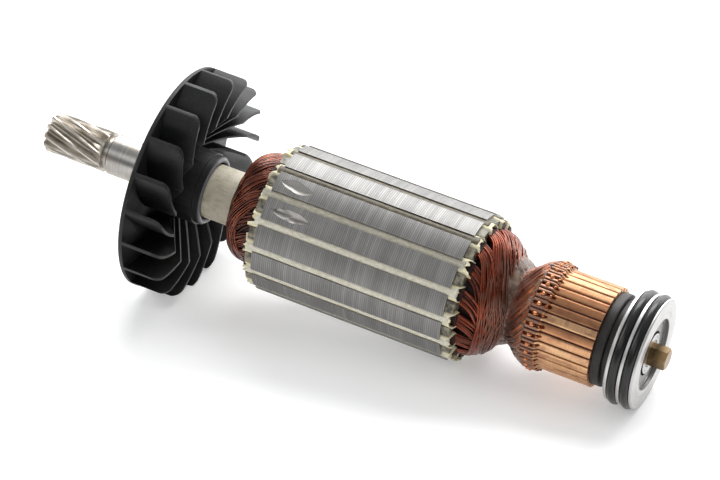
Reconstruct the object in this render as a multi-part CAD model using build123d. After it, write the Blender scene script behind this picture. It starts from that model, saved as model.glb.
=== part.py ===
from build123d import *
from math import acos, atan, atan2, copysign, cos, degrees, hypot, pi, radians, sin, sqrt, tan
import os

# Armature of a hand-held power tool motor, in millimetres.
# X runs along the shaft from the pinion to the commutator end, Z is up.
# The origin is on the shaft axis, at the shoulder where the fan stops the drive bearing.
# Angles turn about +X, from +Y towards +Z.

# Shaft
seat_radius = 7.5
seat_length = 23.8
relief_length = 2.0
relief_radius = 6.2
core_radius = 7.8
shaft_rear_radius = 7.0
journal_radius = 5.0
edge_break = 0.4
hex_across_flats = 7.1
hex_length = 6.4
hex_phase = 53.4
hex_chamfer = 0.7

# Helical pinion, cut in one with the shaft
pinion_teeth = 11
pinion_module = 1.07
pinion_shift = 0.2
pinion_pressure_angle = 20.0
pinion_helix = 16.5
pinion_length = 23.3
pinion_end_chamfer = 0.6
pinion_flank_depth = 0.6
pinion_loft_steps = 5
hob_radius = 9.0

# Cooling fan
fan_radius = 41.2
fan_plate = 1.7
fan_hub_radius = 13.4
fan_hub_length = 14.2
fan_lip_length = 2.8
fan_lip_wall = 2.6
blade_count = 19
blade_height = 15.3
blade_thickness = 1.05
blade_corner_radius = 3.0
blade_knee_radius = 27.6
blade_root_height = 5.4
blade_root_angle = 124.4
blade_knee_angle = 93.9
blade_tip_angle = 73.4

# Insulating tubes on the shaft
drive_tube_radius = 10.0
drive_tube_gap = 0.6
rear_tube_radius = 9.6

# Slotted stack of laminations
stack_start = 45.2
stack_length = 73.0
stack_radius = 27.0
slot_count = 16
slot_phase = 17.75
slot_opening = 2.6
slot_depth = 10.4
slot_floor_round = 0.5
slot_lip = 1.6
tooth_width = 4.3
pocket_cut_length = 10.4
pocket_depth = 1.4
pocket_width = 4.4
pocket_step_aside = 0.35
pocket_cut_stations = ((6.8, 9.4), (7.9, 12.6))
pocket_teeth = (4, 5)

# Slot insulation
end_plate_thickness = 3.0
end_plate_setback = 1.1
liner_thickness = 0.35
ear_length = 4.2
ear_setback = 0.7
wedge_thickness = 1.0
wedge_recess = 0.4

# Windings
drive_winding_setback = 4.7
drive_winding_length = 13.8
drive_winding_face_gap = 1.3
drive_winding_twist = 76.0
rear_winding_setback = 3.6
rear_winding_length = 15.0
rear_winding_twist = 80.0
bundle_depth = 1.7
bundle_depth_at_face = 0.5
bundle_depth_at_waist = 0.25
waist_radius = 13.9
lead_cone_length = 7.4
lead_cone_twist = 40.0
lead_depth = 0.45
lead_depth_at_waist = 0.13

# Commutator
bar_count = 32
bar_phase = 0.2
bar_gap = 0.7
brush_radius = 18.16
brush_length = 18.9
bar_foot_radius = 11.8
riser_length = 6.2
riser_radius = 19.5
riser_slot_width = 1.3
riser_slot_depth = 1.7
riser_front_land = 1.2
mica_recess = 0.5
wire_radius = 0.6
bead_radius = 0.85
bead_proud = 0.7
rear_flange_radius = 16.0
rear_flange_length = 1.5
front_flange_radius = 16.9
front_flange_length = 3.7
front_step_radius = 15.0
front_step_length = 2.3
bush_wall = 1.5

# Deep groove ball bearing
bearing_outer_radius = 13.0
bearing_width = 8.0
inner_shoulder_radius = 7.4
outer_shoulder_radius = 10.7
ball_radius = 2.38
ball_count = 7
race_clearance = 0.05
cage_wall = 1.1
cage_side = 0.7
cage_clearance = 0.12
shield_thickness = 0.4
shield_inset = 0.35
shield_gap = 0.8
spacer_length = 2.0
spacer_radius = 7.6
punch_mark_radius = 0.45

# Bearing sleeve and its two seal rings
sleeve_radius = 20.08
sleeve_gap = 0.5
sleeve_lip = 1.9
sleeve_back_flange = 1.3
sleeve_groove = 3.6
sleeve_rib = 1.2
sleeve_front_flange = 0.9
sleeve_chamfer = 0.3
seal_cord = 3.5
seal_proud = 0.8
seal_clearance = 0.02

# Overrun of a cut past the surface that it opens
cut_overrun = 1.0

# Radii and stations along the shaft that follow from the sizes above
pinion_reference = pinion_module * pinion_teeth / (2 * cos(radians(pinion_helix)))
pinion_tip = pinion_reference + pinion_module * (1 + pinion_shift)
pinion_root = pinion_reference - pinion_module * (1.25 - pinion_shift)
pinion_end = -seat_length - relief_length
pinion_start = pinion_end - pinion_length
slot_roof = stack_radius - slot_lip
slot_floor = slot_roof - slot_depth
end_plate_radius = stack_radius - end_plate_setback
ear_radius = stack_radius - ear_setback
drive_winding_radius = stack_radius - drive_winding_setback
rear_winding_radius = stack_radius - rear_winding_setback
stack_end = stack_start + stack_length
drive_ear = stack_start - ear_length
rear_ear = stack_end + ear_length
waist_station = rear_ear + rear_winding_length
riser_start = waist_station + lead_cone_length
riser_end = riser_start + riser_length
moulding_start = riser_start - rear_flange_length
brush_end = riser_end + brush_length
front_flange_end = brush_end + front_flange_length
moulding_end = front_flange_end + front_step_length
bearing_start = moulding_end + spacer_length
bearing_end = bearing_start + bearing_width
sleeve_start = moulding_end + sleeve_gap
groove_1_start = sleeve_start + sleeve_back_flange
groove_1_end = groove_1_start + sleeve_groove
groove_2_start = groove_1_end + sleeve_rib
groove_2_end = groove_2_start + sleeve_groove
sleeve_end = groove_2_end + sleeve_front_flange
slot_pitch = 360 / slot_count
bar_pitch = 360 / bar_count
bush_radius = shaft_rear_radius + bush_wall
pitch_radius = (inner_shoulder_radius + outer_shoulder_radius) / 2
shield_seat_radius = (outer_shoulder_radius + bearing_outer_radius) / 2
bearing_middle = (bearing_start + bearing_end) / 2


def turned(*points):
    """Turn a closed outline of (station, radius) points about the shaft axis."""
    return revolve(make_face(Polyline(*points, close=True)), Axis.X)


def ring(start, end, inner, outer):
    """Make a plain ring, or a disc where inner is zero."""
    return turned((start, inner), (end, inner), (end, outer), (start, outer))


def along(sketch, start, length):
    """Extrude a cross-section of the part along the shaft."""
    return extrude(Plane.YZ.offset(start) * sketch, amount=length)


def polar(radius, angle):
    """Give the cross-section point at a radius and an angle in degrees."""
    return (radius * cos(radians(angle)), radius * sin(radians(angle)))


def around(shape, count, phase=0.0):
    """Copy a shape that was made at angle zero to evenly spaced places about the shaft."""
    return [Rot(phase + i * 360 / count, 0, 0) * shape for i in range(count)]


def tooth_half_angle(radius):
    """Give half the angle that an involute pinion tooth takes up at a radius."""
    transverse = atan(tan(radians(pinion_pressure_angle)) / cos(radians(pinion_helix)))
    base = pinion_reference * cos(transverse)
    pressure = acos(min(1.0, base / radius))
    shift = 2 * pinion_shift * tan(radians(pinion_pressure_angle))
    at_reference = (pi / 2 + shift) / pinion_teeth
    return degrees(at_reference + tan(transverse) - transverse - tan(pressure) + pressure)


def pinion_section(station, turn):
    """Draw the toothed outline of the pinion, turned as far as its helix has come."""
    tip = pinion_tip
    foot = pinion_reference - pinion_flank_depth
    middle = (foot + tip) / 2
    low = tooth_half_angle(foot)
    mid = tooth_half_angle(middle)
    high = tooth_half_angle(tip)
    edges = []
    for tooth in range(pinion_teeth):
        centre = turn + tooth * 360 / pinion_teeth
        following = centre + 360 / pinion_teeth
        rising = (polar(foot, centre - low), polar(middle, centre - mid), polar(tip, centre - high))
        falling = (polar(tip, centre + high), polar(middle, centre + mid), polar(foot, centre + low))
        valley = polar(pinion_root, centre + 180 / pinion_teeth)
        edges.append(ThreePointArc(*rising))
        edges.append(Line(rising[2], falling[0]))
        edges.append(ThreePointArc(*falling))
        edges.append(ThreePointArc(falling[2], valley, polar(foot, following - low)))
    return Plane.YZ.offset(station) * make_face(edges)


def make_pinion():
    """Cut the helical teeth, with the hob's run-out rising to full height at the inner end."""
    tip = pinion_tip + edge_break / 10
    root = pinion_root
    start = pinion_start
    end = pinion_end
    whole_turn = degrees(pinion_length * tan(radians(pinion_helix)) / pinion_reference)
    shares = [i / pinion_loft_steps for i in range(pinion_loft_steps + 1)]
    sections = [pinion_section(start + pinion_length * share, whole_turn * share) for share in shares]
    teeth = loft(sections)
    blank = turned(
        (start, 0),
        (start, pinion_tip - pinion_end_chamfer),
        (start + pinion_end_chamfer, tip),
        (end, tip),
        (end, 0),
    )
    depth = pinion_tip - root + edge_break / 4
    reach = sqrt(2 * hob_radius * depth - depth**2)
    half = reach / 2
    sag = root + hob_radius - sqrt(hob_radius**2 - half**2)
    run_out = revolve(
        make_face(
            [
                Line((end - reach, 0), (end - reach, root)),
                ThreePointArc((end - reach, root), (end - half, sag), (end, root + depth)),
                Line((end, root + depth), (end, 0)),
                Line((end, 0), (end - reach, 0)),
            ]
        ),
        Axis.X,
    )
    return (teeth & blank) + run_out


def make_shaft():
    """Turn the shaft and join the pinion and the hexagonal end to it."""
    seat_start = -seat_length
    bar = turned(
        (pinion_end, 0),
        (pinion_end, relief_radius),
        (seat_start, relief_radius),
        (seat_start, seat_radius - edge_break),
        (seat_start + edge_break, seat_radius),
        (0, seat_radius),
        (0, core_radius),
        (stack_end, core_radius),
        (stack_end, shaft_rear_radius),
        (moulding_end, shaft_rear_radius),
        (moulding_end, journal_radius),
        (bearing_end - edge_break, journal_radius),
        (bearing_end, journal_radius - edge_break),
        (bearing_end, 0),
    )
    corner = hex_across_flats / sqrt(3)
    hexagon = RegularPolygon(radius=corner, side_count=6, rotation=hex_phase)
    tip_end = bearing_end + hex_length
    prism = along(hexagon, bearing_end, hex_length)
    bevel = turned(
        (bearing_end, 0),
        (bearing_end, corner + edge_break),
        (tip_end - hex_chamfer, corner + edge_break),
        (tip_end, corner - hex_chamfer),
        (tip_end, 0),
    )
    return bar + (prism & bevel) + make_pinion()


def circle_centre(a, b, c):
    """Find the centre of the circle through three cross-section points."""
    d = 2 * (a[0] * (b[1] - c[1]) + b[0] * (c[1] - a[1]) + c[0] * (a[1] - b[1]))
    aa, bb, cc = (p[0] ** 2 + p[1] ** 2 for p in (a, b, c))
    x = (aa * (b[1] - c[1]) + bb * (c[1] - a[1]) + cc * (a[1] - b[1])) / d
    y = (aa * (c[0] - b[0]) + bb * (a[0] - c[0]) + cc * (b[0] - a[0])) / d
    return (x, y)


def blade_section():
    """Draw one blade's cross-section, an arc of even thickness that leans back from hub to rim."""
    inner = polar(fan_hub_radius, blade_root_angle)
    knee = polar(blade_knee_radius, blade_knee_angle)
    outer = polar(fan_radius, blade_tip_angle)
    centre = circle_centre(inner, knee, outer)
    radius = hypot(knee[0] - centre[0], knee[1] - centre[1])
    start = atan2(inner[1] - centre[1], inner[0] - centre[0])
    middle = atan2(knee[1] - centre[1], knee[0] - centre[0])
    end = atan2(outer[1] - centre[1], outer[0] - centre[0])
    overrun = copysign(blade_thickness / radius, sin(end - start))
    angles = (start - overrun, middle, end + overrun)

    def side(reach):
        return [(centre[0] + reach * cos(a), centre[1] + reach * sin(a)) for a in angles]

    convex = side(radius + blade_thickness / 2)
    concave = side(radius - blade_thickness / 2)[::-1]
    return make_face(
        [
            ThreePointArc(*convex),
            Line(convex[2], concave[0]),
            ThreePointArc(*concave),
            Line(concave[2], convex[0]),
        ]
    )


def make_fan():
    """Mould the fan: back plate, hub with a rounded lip, and curved blades with a kneed front edge."""
    lip_inner = drive_tube_radius + drive_tube_gap
    lip_outer = lip_inner + fan_lip_wall - edge_break
    lip_end = fan_hub_length + fan_lip_length
    soft = fan_lip_wall / 3
    body = turned(
        (0, core_radius),
        (0, fan_radius - edge_break),
        (edge_break, fan_radius),
        (fan_plate, fan_radius),
        (fan_plate, fan_hub_radius),
        (fan_hub_length, fan_hub_radius),
        (fan_hub_length, lip_outer),
        (lip_end - soft, lip_outer),
        (lip_end, lip_outer - soft),
        (lip_end, lip_inner + soft / 2),
        (lip_end - soft / 2, lip_inner),
        (fan_hub_length - edge_break, lip_inner),
        (fan_hub_length - edge_break, core_radius),
    )
    round_start = blade_height - blade_corner_radius
    corner = blade_corner_radius * (1 - sqrt(0.5))
    envelope = revolve(
        make_face(
            [
                Line((0, core_radius), (0, fan_radius)),
                Line((0, fan_radius), (round_start, fan_radius)),
                ThreePointArc(
                    (round_start, fan_radius),
                    (blade_height - corner, fan_radius - corner),
                    (blade_height, fan_radius - blade_corner_radius),
                ),
                Line((blade_height, fan_radius - blade_corner_radius), (blade_height, blade_knee_radius)),
                Line((blade_height, blade_knee_radius), (blade_root_height, fan_hub_radius)),
                Line((blade_root_height, fan_hub_radius), (blade_root_height, core_radius)),
                Line((blade_root_height, core_radius), (0, core_radius)),
            ]
        ),
        Axis.X,
    )
    envelope = envelope - ring(0, blade_height, 0, fan_hub_radius - blade_thickness / 2)
    blade = along(blade_section(), edge_break, blade_height) & envelope
    return body + around(blade, blade_count)


def slot_half_width(radius, inset):
    """Give half the width of a slot at a radius, between teeth with parallel sides."""
    return radius * tan(pi / slot_count) - tooth_width / 2 - inset


def slot_outline(inset, roof):
    """Draw the body of the slot at angle zero, with a rounded floor, inset on its three closed sides."""
    floor = slot_floor + inset
    low = slot_half_width(floor, inset)
    high = slot_half_width(roof, inset)
    return make_face(
        [
            Line((floor, low), (roof, high)),
            Line((roof, high), (roof, -high)),
            Line((roof, -high), (floor, -low)),
            ThreePointArc((floor, -low), (floor - slot_floor_round, 0), (floor, low)),
        ]
    )


def slots_of(sketch):
    """Copy a cross-section drawn for the slot at angle zero to every slot."""
    return [Rot(0, 0, slot_phase + i * slot_pitch) * sketch for i in range(slot_count)]


def make_stack():
    """Stack the laminations: T-shaped teeth, semi-closed slots and two balance pockets.

    Each pocket is milled in two overlapping cuts with a V-rimmed disc.
    """
    mouth_middle = (slot_roof + stack_radius) / 2
    mouth_depth = stack_radius - slot_roof + 2 * cut_overrun
    mouth = Pos(mouth_middle, 0) * Rectangle(mouth_depth, slot_opening)
    slot = slot_outline(0, slot_roof) + mouth
    lamination = Circle(stack_radius) - Circle(core_radius) - slots_of(slot)
    stack = along(lamination, stack_start, stack_length)
    half = pocket_cut_length / 2
    sweep = (half**2 + pocket_depth**2) / (2 * pocket_depth)
    flank = Cone(sweep, sweep - 2 * pocket_depth, pocket_width)
    flank = Pos(0, 0, pocket_width / 2) * flank
    cutter = flank + mirror(flank, about=Plane.XY)
    height = stack_radius - pocket_depth + sweep
    for stations, tooth in zip(pocket_cut_stations, pocket_teeth):
        angle = slot_phase + (tooth + 0.5) * slot_pitch
        for station, aside in zip(stations, (-pocket_step_aside, pocket_step_aside)):
            place = Rot(angle, 0, 0) * Pos(stack_start + station, height, aside)
            stack = stack - place * cutter
    return stack


def make_end_plate(start):
    """Cut an insulating end plate that follows the teeth without their tips."""
    disc = Circle(end_plate_radius) - Circle(drive_tube_radius)
    return along(disc - slots_of(slot_outline(0, stack_radius)), start, end_plate_thickness)


def make_liners():
    """Fold the slot papers: each lines one slot and stands out at both ends as an ear."""
    paper = slot_outline(0, slot_roof) - slot_outline(liner_thickness, slot_roof)
    ear = slot_outline(0, ear_radius) - slot_outline(liner_thickness, ear_radius)
    inside = along(paper, stack_start, stack_length)
    liner = inside + along(ear, drive_ear, ear_length) + along(ear, stack_end, ear_length)
    return Compound(around(liner, slot_count, slot_phase))


def make_wedges():
    """Make the strips that close the slots, with a raised centre in the slot mouth."""
    low = slot_roof - wedge_thickness
    crown = stack_radius - wedge_recess
    mouth = slot_opening / 2
    low_half = slot_half_width(low, liner_thickness)
    high_half = slot_half_width(slot_roof, liner_thickness)
    ear_half = slot_half_width(ear_radius, liner_thickness)
    strip = make_face(
        Polyline(
            (low, -low_half),
            (slot_roof, -high_half),
            (slot_roof, -mouth),
            (crown, -mouth),
            (crown, mouth),
            (slot_roof, mouth),
            (slot_roof, high_half),
            (low, low_half),
            close=True,
        )
    )
    ear = make_face(
        Polyline(
            (low, -low_half),
            (ear_radius, -ear_half),
            (ear_radius, ear_half),
            (low, low_half),
            close=True,
        )
    )
    inside = along(strip, stack_start, stack_length)
    wedge = inside + along(ear, drive_ear, ear_length) + along(ear, stack_end, ear_length)
    return Compound(around(wedge, slot_count, slot_phase))


def make_slot_conductors():
    """Fill each slot with its bundle of wires, from ear to ear."""
    bundle = along(
        slot_outline(liner_thickness, slot_roof - wedge_thickness), drive_ear, rear_ear - drive_ear
    )
    return Compound(around(bundle, slot_count, slot_phase))


def bundled_section(station, crest, depth, count, phase):
    """Draw a cross-section whose rim is one arc for each bundle of wires, with a valley between."""
    half_pitch = 180 / count
    valley = crest - depth
    edges = []
    for i in range(count):
        centre = phase + 2 * i * half_pitch
        edges.append(
            ThreePointArc(
                polar(valley, centre - half_pitch),
                polar(crest, centre),
                polar(valley, centre + half_pitch),
            )
        )
    return Plane.YZ.offset(station) * make_face(edges)


def make_drive_end_turns():
    """Wind the drive end: bundles leave the slots and sweep round the tube into a flat face."""
    inner = drive_tube_radius + drive_winding_face_gap
    rise = drive_winding_radius - inner
    steps = 9
    sections = []
    for i in range(steps + 1):
        part = i / steps
        lean = pi / 2 * part
        station = drive_ear - drive_winding_length * cos(lean)
        crest = inner + rise * sin(lean)
        depth = bundle_depth_at_face + (bundle_depth - bundle_depth_at_face) * part
        phase = slot_phase + drive_winding_twist * (1 - part)
        sections.append(bundled_section(station, crest, depth, slot_count, phase))
    return loft(sections) - ring(fan_hub_length, stack_start, 0, drive_tube_radius)


def make_rear_end_turns():
    """Wind the commutator end: bundles sweep round and narrow into a resin-filled waist."""
    steps = 10
    sections = []
    for i in range(steps + 1):
        part = i / steps
        station = rear_ear + rear_winding_length * part
        fall = max(0.0, part - 0.1) / 0.9
        crest = waist_radius + (rear_winding_radius - waist_radius) * (1 - fall**1.5)
        depth = bundle_depth + (bundle_depth_at_waist - bundle_depth) * part
        phase = slot_phase + rear_winding_twist * part
        sections.append(bundled_section(station, crest, depth, slot_count, phase))
    return loft(sections) - ring(rear_ear, waist_station, 0, rear_tube_radius)


def make_leads():
    """Lay the leads from the waist up to the risers, one ridge for each commutator bar."""
    steps = 9
    sections = []
    for i in range(steps + 1):
        part = i / steps
        station = waist_station + lead_cone_length * part
        ease = part * part * (3 - 2 * part)
        crest = waist_radius + (riser_radius - lead_depth - waist_radius) * ease
        depth = lead_depth_at_waist + (lead_depth - lead_depth_at_waist) * part
        phase = bar_phase + lead_cone_twist * (1 - part)
        sections.append(bundled_section(station, crest, depth, bar_count, phase))
    cone = loft(sections) - ring(waist_station, riser_start, 0, rear_tube_radius)
    return cone - ring(moulding_start, riser_start, 0, rear_flange_radius)


def bar_cutter(width, low, high, start, end):
    """Make a plain block that stands radially at angle zero."""
    return Pos((start + end) / 2, (low + high) / 2, 0) * Box(end - start, high - low, width)


def make_bars():
    """Saw the copper ring into bars, and mill a wire slot into each riser."""
    copper = turned(
        (riser_start, bar_foot_radius),
        (riser_start, riser_radius - edge_break),
        (riser_start + edge_break, riser_radius),
        (riser_end - riser_front_land, riser_radius),
        (riser_end, brush_radius + edge_break / 2),
        (riser_end, brush_radius),
        (brush_end, brush_radius),
        (brush_end, bar_foot_radius),
    )
    outside = riser_radius + cut_overrun
    before = riser_start - cut_overrun
    saw = bar_cutter(bar_gap, bar_foot_radius - cut_overrun, outside, before, brush_end + cut_overrun)
    floor = riser_radius - riser_slot_depth
    mill = bar_cutter(riser_slot_width, floor, outside, before, riser_end - edge_break)
    bars = copper - around(saw, bar_count, bar_phase + bar_pitch / 2)
    return bars - around(mill, bar_count, bar_phase)


def make_mica():
    """Make the insulating segments between the bars, undercut below the copper."""
    band = turned(
        (riser_start, bar_foot_radius),
        (riser_start, riser_radius - mica_recess),
        (riser_end - riser_front_land, riser_radius - mica_recess),
        (riser_end, brush_radius - mica_recess),
        (brush_end, brush_radius - mica_recess),
        (brush_end, bar_foot_radius),
    )
    segment = band & bar_cutter(bar_gap, bar_foot_radius, riser_radius, riser_start, brush_end)
    return Compound(around(segment, bar_count, bar_phase + bar_pitch / 2))


def make_moulding():
    """Mould the commutator body: a rear flange, a core under the bars and a stepped front collar."""
    return turned(
        (moulding_start, bush_radius),
        (moulding_start, rear_flange_radius),
        (riser_start, rear_flange_radius),
        (riser_start, bar_foot_radius),
        (brush_end, bar_foot_radius),
        (brush_end, front_flange_radius),
        (front_flange_end - edge_break, front_flange_radius),
        (front_flange_end, front_flange_radius - edge_break),
        (front_flange_end, front_step_radius),
        (moulding_end, front_step_radius),
        (moulding_end, bush_radius),
    )


def make_wire_ends():
    """Fuse a wire end into each riser slot, with the bead that the weld leaves on top."""
    seat = riser_radius - riser_slot_depth + wire_radius
    end = riser_end - edge_break
    middle = (riser_start + riser_end) / 2
    wire = Pos((riser_start + end) / 2, seat, 0) * Rot(0, 90, 0) * Cylinder(wire_radius, end - riser_start)
    bead = Pos(middle, riser_radius + bead_proud - bead_radius, 0) * Sphere(bead_radius)
    top = riser_radius + bead_proud + cut_overrun
    slot = bar_cutter(riser_slot_width, seat - wire_radius, top, riser_start, end)
    return Compound(around((wire + bead) & slot, bar_count, bar_phase))


def make_inner_ring():
    """Turn the inner ring, with its ball race and the two punch marks on its front face."""
    blank = ring(bearing_start, bearing_end, journal_radius, inner_shoulder_radius)
    race = Pos(bearing_middle, 0, 0) * Rot(0, 90, 0) * Torus(pitch_radius, ball_radius + race_clearance)
    mark_height = (journal_radius + inner_shoulder_radius) / 2
    mark = Pos(bearing_end, mark_height, 0) * Sphere(punch_mark_radius)
    return blank - race - around(mark, 2, hex_phase)


def make_outer_ring():
    """Turn the outer ring, with its ball race and a seat for each shield."""
    step = shield_inset + shield_thickness
    blank = turned(
        (bearing_start, shield_seat_radius),
        (bearing_start, bearing_outer_radius),
        (bearing_end, bearing_outer_radius),
        (bearing_end, shield_seat_radius),
        (bearing_end - step, shield_seat_radius),
        (bearing_end - step, outer_shoulder_radius),
        (bearing_start + step, outer_shoulder_radius),
        (bearing_start + step, shield_seat_radius),
    )
    race = Pos(bearing_middle, 0, 0) * Rot(0, 90, 0) * Torus(pitch_radius, ball_radius + race_clearance)
    return blank - race


def make_shield(start):
    """Press a thin shield that clips into the outer ring and clears the inner one."""
    inner = inner_shoulder_radius + shield_gap
    return ring(start, start + shield_thickness, inner, shield_seat_radius)


def make_balls():
    """Place the balls evenly in the race."""
    ball = Pos(bearing_middle, pitch_radius, 0) * Sphere(ball_radius)
    return Compound(around(ball, ball_count))


def make_cage():
    """Form the cage, a ring with a round pocket for each ball."""
    side = ball_radius + cage_side
    band = ring(
        bearing_middle - side,
        bearing_middle + side,
        pitch_radius - cage_wall / 2,
        pitch_radius + cage_wall / 2,
    )
    pocket = Pos(bearing_middle, pitch_radius, 0) * Sphere(ball_radius + cage_clearance)
    return band - around(pocket, ball_count)


def make_sleeve():
    """Turn the sleeve that carries the bearing, with two grooves for the seal rings."""
    floor = sleeve_radius + seal_proud - seal_cord
    return turned(
        (sleeve_start, bearing_outer_radius - sleeve_lip),
        (sleeve_start, sleeve_radius - sleeve_chamfer),
        (sleeve_start + sleeve_chamfer, sleeve_radius),
        (groove_1_start, sleeve_radius),
        (groove_1_start, floor),
        (groove_1_end, floor),
        (groove_1_end, sleeve_radius),
        (groove_2_start, sleeve_radius),
        (groove_2_start, floor),
        (groove_2_end, floor),
        (groove_2_end, sleeve_radius),
        (sleeve_end - sleeve_chamfer, sleeve_radius),
        (sleeve_end, sleeve_radius - sleeve_chamfer),
        (sleeve_end, bearing_outer_radius),
        (bearing_start, bearing_outer_radius),
        (bearing_start, bearing_outer_radius - sleeve_lip),
    )


def make_seal_ring(groove_start):
    """Lay a round rubber ring in its groove, standing a little proud of the sleeve."""
    middle = groove_start + sleeve_groove / 2
    cord_radius = seal_cord / 2
    reach = sleeve_radius + seal_proud - cord_radius + seal_clearance
    return Pos(middle, 0, 0) * Rot(0, 90, 0) * Torus(reach, cord_radius)


parts = {
    "shaft": make_shaft(),
    "cooling_fan": make_fan(),
    "shaft_tube_drive": ring(fan_hub_length - edge_break, stack_start, core_radius, drive_tube_radius),
    "lamination_stack": make_stack(),
    "end_insulation_drive": make_end_plate(stack_start - end_plate_thickness),
    "end_insulation_commutator": make_end_plate(stack_end),
    "slot_liners": make_liners(),
    "slot_wedges": make_wedges(),
    "slot_conductors": make_slot_conductors(),
    "end_turns_drive": make_drive_end_turns(),
    "end_turns_commutator": make_rear_end_turns(),
    "shaft_tube_commutator": ring(stack_end, moulding_start, shaft_rear_radius, rear_tube_radius),
    "commutator_leads": make_leads(),
    "commutator_bars": make_bars(),
    "commutator_mica": make_mica(),
    "commutator_moulding": make_moulding(),
    "commutator_bush": ring(moulding_start, moulding_end, shaft_rear_radius, bush_radius),
    "fused_wire_ends": make_wire_ends(),
    "bearing_spacer": ring(moulding_end, bearing_start, journal_radius, spacer_radius),
    "bearing_inner_ring": make_inner_ring(),
    "bearing_balls": make_balls(),
    "bearing_cage": make_cage(),
    "bearing_outer_ring": make_outer_ring(),
    "bearing_shield_back": make_shield(bearing_start + shield_inset),
    "bearing_shield_front": make_shield(bearing_end - shield_inset - shield_thickness),
    "bearing_sleeve": make_sleeve(),
    "seal_ring_back": make_seal_ring(groove_1_start),
    "seal_ring_front": make_seal_ring(groove_2_start),
}

os.makedirs("parts", exist_ok=True)
for name, shape in parts.items():
    export_step(shape, f"parts/{name}.step")
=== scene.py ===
import random
from math import atan2, copysign, cos, hypot, pi, radians, sin, tan, tau

import bmesh
import bpy
from mathutils import Matrix, Vector, noise


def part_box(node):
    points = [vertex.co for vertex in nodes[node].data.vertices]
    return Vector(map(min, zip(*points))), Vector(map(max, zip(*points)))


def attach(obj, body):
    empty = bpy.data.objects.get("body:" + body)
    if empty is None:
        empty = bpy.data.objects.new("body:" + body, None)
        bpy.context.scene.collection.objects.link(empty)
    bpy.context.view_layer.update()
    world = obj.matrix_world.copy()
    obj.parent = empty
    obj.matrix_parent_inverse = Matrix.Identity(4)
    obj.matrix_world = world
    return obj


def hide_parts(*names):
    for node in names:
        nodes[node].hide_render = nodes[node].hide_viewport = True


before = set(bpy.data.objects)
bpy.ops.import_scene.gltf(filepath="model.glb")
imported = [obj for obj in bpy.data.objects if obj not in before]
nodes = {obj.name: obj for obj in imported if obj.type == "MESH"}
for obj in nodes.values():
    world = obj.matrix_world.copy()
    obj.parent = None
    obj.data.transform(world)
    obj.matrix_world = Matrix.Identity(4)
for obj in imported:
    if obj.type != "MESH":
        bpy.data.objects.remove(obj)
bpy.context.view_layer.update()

# Sizes are in metres, and angles turn about +X, from +Y towards +Z.
MM = 0.001

# Places that follow from the solids
stack_low, stack_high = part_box("lamination_stack")
bars_low, bars_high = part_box("commutator_bars")
fan_low, fan_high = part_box("cooling_fan")
stack_start, stack_end, stack_radius = stack_low.x, stack_high.x, stack_high.z
riser_start, riser_radius = bars_low.x, bars_high.z
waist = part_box("commutator_leads")[0].x
hexagon_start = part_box("bearing_sleeve")[1].x - 1.4 * MM

# Slots with their papers, and bars, where a phase is the angle of the first one
SLOTS = 16
SLOT_PITCH = tau / SLOTS
SLOT_PHASE = radians(17.75)
BARS = 32
BAR_PITCH = tau / BARS
BAR_PHASE = radians(0.2)
TOOTH_WIDTH = 4.3 * MM
SLOT_MOUTH = 2.6 * MM
EAR_LENGTH = 4.2 * MM
EAR_RADIUS = 26.3 * MM
PAPER_THICKNESS = 0.32 * MM
RISER_LENGTH = 6.2 * MM

# Shaft, fan hub, windings and the tubes under them
BEARING_SEAT_START = -25.8 * MM
BEARING_RADIUS = 13.0 * MM
FAN_HUB_LENGTH = 14.2 * MM
FAN_LIP_RADIUS = 11.9 * MM
WIRE_RADIUS = 0.34 * MM
TUBE_RADIUS = 10.0 * MM
REAR_TUBE_RADIUS = 9.6 * MM
COIL_SPAN = radians(157.5)
DRIVE_RADIUS = 22.2 * MM
DRIVE_LENGTH = 13.6 * MM
DRIVE_INNER = 11.9 * MM
REAR_RADIUS = 23.2 * MM
REAR_LENGTH = 15.0 * MM
WAIST_RADIUS = 13.9 * MM
CORE_DEPTH = 2.6 * MM

# Lumps of the cores and resin: per metre along, per radian round, and their sweep in radians per metre
LUMPS_ALONG = 90
LUMPS_ROUND = 9
REAR_SWEEP = 45.0

# Node kinds that come back often. A range takes a value, and maps low and high to a new low and high.
MATH = "ShaderNodeMath"
VECTOR = "ShaderNodeVectorMath"
SPLIT = "ShaderNodeSeparateXYZ"
JOIN = "ShaderNodeCombineXYZ"
RANGE = "ShaderNodeMapRange"
MIX = "ShaderNodeMix"
NOISE = "ShaderNodeTexNoise"
WHITE_NOISE = "ShaderNodeTexWhiteNoise"
CURVE = "ShaderNodeFloatCurve"
RANDOM = "FunctionNodeRandomValue"
RGBA = {"data_type": "RGBA"}
SMOOTH = {"interpolation_type": "SMOOTHSTEP"}
BY_NUMBER = {"noise_dimensions": "1D"}


def linear(code):
    """Turn an sRGB hex colour into the linear colour that a socket takes."""
    parts = [int(code[i : i + 2], 16) / 255 for i in (1, 3, 5)]
    return [c / 12.92 if c <= 0.04045 else ((c + 0.055) / 1.055) ** 2.4 for c in parts] + [1.0]


def fill(tree, node, inputs):
    """Fill a node's inputs, each with a value, a hex colour, or a socket or node to link to it."""
    for key, value in inputs.items() if isinstance(inputs, dict) else enumerate(inputs):
        if isinstance(value, str) and value.startswith("#"):
            value = linear(value)
        if isinstance(value, bpy.types.Node):
            value = next(socket for socket in value.outputs if socket.enabled)
        if isinstance(value, bpy.types.NodeSocket):
            tree.links.new(value, node.inputs[key])
        else:
            node.inputs[key].default_value = value


def add(tree, kind, settings=None, inputs=()):
    """Add a node with its settings, or just its operation, and its inputs by key or in their order."""
    node = tree.nodes.new(kind)
    if isinstance(settings, str):
        settings = {"operation": settings}
    for name, value in (settings or {}).items():
        setattr(node, name, value)
    fill(tree, node, inputs)
    return node


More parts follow.
